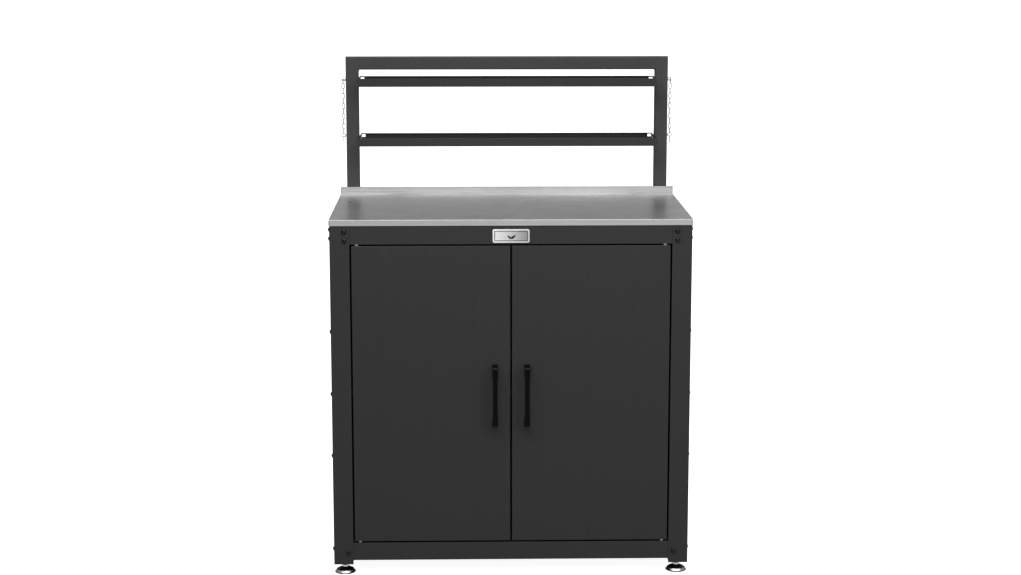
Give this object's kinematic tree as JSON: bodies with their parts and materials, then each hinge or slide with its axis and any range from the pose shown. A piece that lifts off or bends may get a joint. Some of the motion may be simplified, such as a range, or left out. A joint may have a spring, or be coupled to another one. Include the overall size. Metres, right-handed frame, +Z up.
{
  "type": "potting bench",
  "caption": "Free-standing steel potting bench: a two-door cabinet with a stainless worktop, a rear rack of two trays, hanging tool chains and levelling feet.",
  "frame": {"origin": "on the floor, under the middle of the bench's overall width and depth", "axes": "+Z up; +X to the right of someone facing the doors; +Y away from them, towards the rack"},
  "size_m": [0.925, 0.596, 1.302],
  "materials": {
    "frame_paint": "fine satin powder coat, charcoal",
    "panel_paint": "fine satin powder coat, charcoal",
    "door_paint": "fine satin powder coat, charcoal",
    "rack_paint": "fine satin powder coat, charcoal",
    "worktop_steel": "brushed stainless, grain along the width",
    "zinc_hardware": "bright zinc plate",
    "pin_steel": "turned steel",
    "plate_metal": "brushed",
    "black_bolts": "black oxide",
    "handle_paint": "satin black",
    "black_plastic": "moulded",
    "nylon": "natural nylon",
    "foot_rubber": "moulded, low sheen",
    "stud_chrome": "bright plated thread"
  },
  "bodies": {
    "bench": {"left_front_leg": "frame_paint", "right_front_leg": "frame_paint", "left_rear_leg": "frame_paint", "right_rear_leg": "frame_paint", "front_top_rail": "frame_paint", "rear_top_rail": "frame_paint", "side_top_rails": "frame_paint", "front_bottom_rail": "frame_paint", "rear_bottom_rail": "frame_paint", "side_bottom_rails": "frame_paint", "left_side_panel": "panel_paint", "right_side_panel": "panel_paint", "back_panel": "panel_paint", "bottom_panel": "panel_paint", "inner_shelf": "panel_paint", "shelf_angles": "panel_paint", "foot_plates": "frame_paint", "foot_nuts": "zinc_hardware", "worktop": "worktop_steel", "worktop_stiffeners": "worktop_steel", "worktop_studs": "zinc_hardware", "nameplate": "plate_metal", "frame_bolts": "black_bolts", "frame_nuts": "zinc_hardware", "door_catch": "black_plastic", "left_pivot_pins": "pin_steel", "right_pivot_pins": "pin_steel", "left_upright": "rack_paint", "right_upright": "rack_paint", "rack_top_rail": "rack_paint", "upright_plugs": "black_plastic", "rack_bolts": "black_bolts", "upper_tray": "rack_paint", "lower_tray": "rack_paint", "tray_bolts": "zinc_hardware", "chain_pins": "zinc_hardware"},
    "left_door": {"left_door_panel": "door_paint", "left_door_stiffeners": "door_paint", "left_door_bushes": "nylon", "left_strike_plate": "zinc_hardware", "left_handle": "handle_paint", "left_handle_screws": "zinc_hardware"},
    "right_door": {"right_door_panel": "door_paint", "right_door_stiffeners": "door_paint", "right_door_bushes": "nylon", "right_strike_plate": "zinc_hardware", "right_handle": "handle_paint", "right_handle_screws": "zinc_hardware"},
    "left_chain": {"left_chain": "zinc_hardware"},
    "left_hook": {"left_hook": "zinc_hardware"},
    "right_chain": {"right_chain": "zinc_hardware"},
    "right_hook": {"right_hook": "zinc_hardware"},
    "left_front_foot": {"left_front_foot_pad": "foot_rubber", "left_front_foot_stud": "stud_chrome"},
    "right_front_foot": {"right_front_foot_pad": "foot_rubber", "right_front_foot_stud": "stud_chrome"},
    "left_rear_foot": {"left_rear_foot_pad": "foot_rubber", "left_rear_foot_stud": "stud_chrome"},
    "right_rear_foot": {"right_rear_foot_pad": "foot_rubber", "right_rear_foot_stud": "stud_chrome"}
  },
  "joints": [
    {"name": "left_door_hinge", "type": "hinge", "parent": "bench", "child": "left_door", "pos_m": [-0.38949, -0.256, 0.0885], "axis": [0, 0, 1], "range_deg": [-110, 0]},
    {"name": "right_door_hinge", "type": "hinge", "parent": "bench", "child": "right_door", "pos_m": [0.38949, -0.256, 0.0885], "axis": [0, 0, 1], "range_deg": [0, 110]},
    {"name": "left_chain_swing", "type": "hinge", "parent": "bench", "child": "left_chain", "pos_m": [-0.449, 0.2605, 1.24], "axis": [1, 0, 0], "range_deg": [-60, 60]},
    {"name": "left_hook_swing", "type": "hinge", "parent": "left_chain", "child": "left_hook", "pos_m": [-0.449, 0.2605, 1.0829], "axis": [1, 0, 0], "range_deg": [-75, 75]},
    {"name": "right_chain_swing", "type": "hinge", "parent": "bench", "child": "right_chain", "pos_m": [0.449, 0.2605, 1.24], "axis": [1, 0, 0], "range_deg": [-60, 60]},
    {"name": "right_hook_swing", "type": "hinge", "parent": "right_chain", "child": "right_hook", "pos_m": [0.449, 0.2605, 1.0829], "axis": [1, 0, 0], "range_deg": [-75, 75]},
    {"name": "left_front_foot_screw", "type": "slide", "parent": "bench", "child": "left_front_foot", "axis": [0, 0, -1], "range_m": [0, 0.012]},
    {"name": "right_front_foot_screw", "type": "slide", "parent": "bench", "child": "right_front_foot", "axis": [0, 0, -1], "range_m": [0, 0.012]},
    {"name": "left_rear_foot_screw", "type": "slide", "parent": "bench", "child": "left_rear_foot", "axis": [0, 0, -1], "range_m": [0, 0.012]},
    {"name": "right_rear_foot_screw", "type": "slide", "parent": "bench", "child": "right_rear_foot", "axis": [0, 0, -1], "range_m": [0, 0.012]}
  ]
}
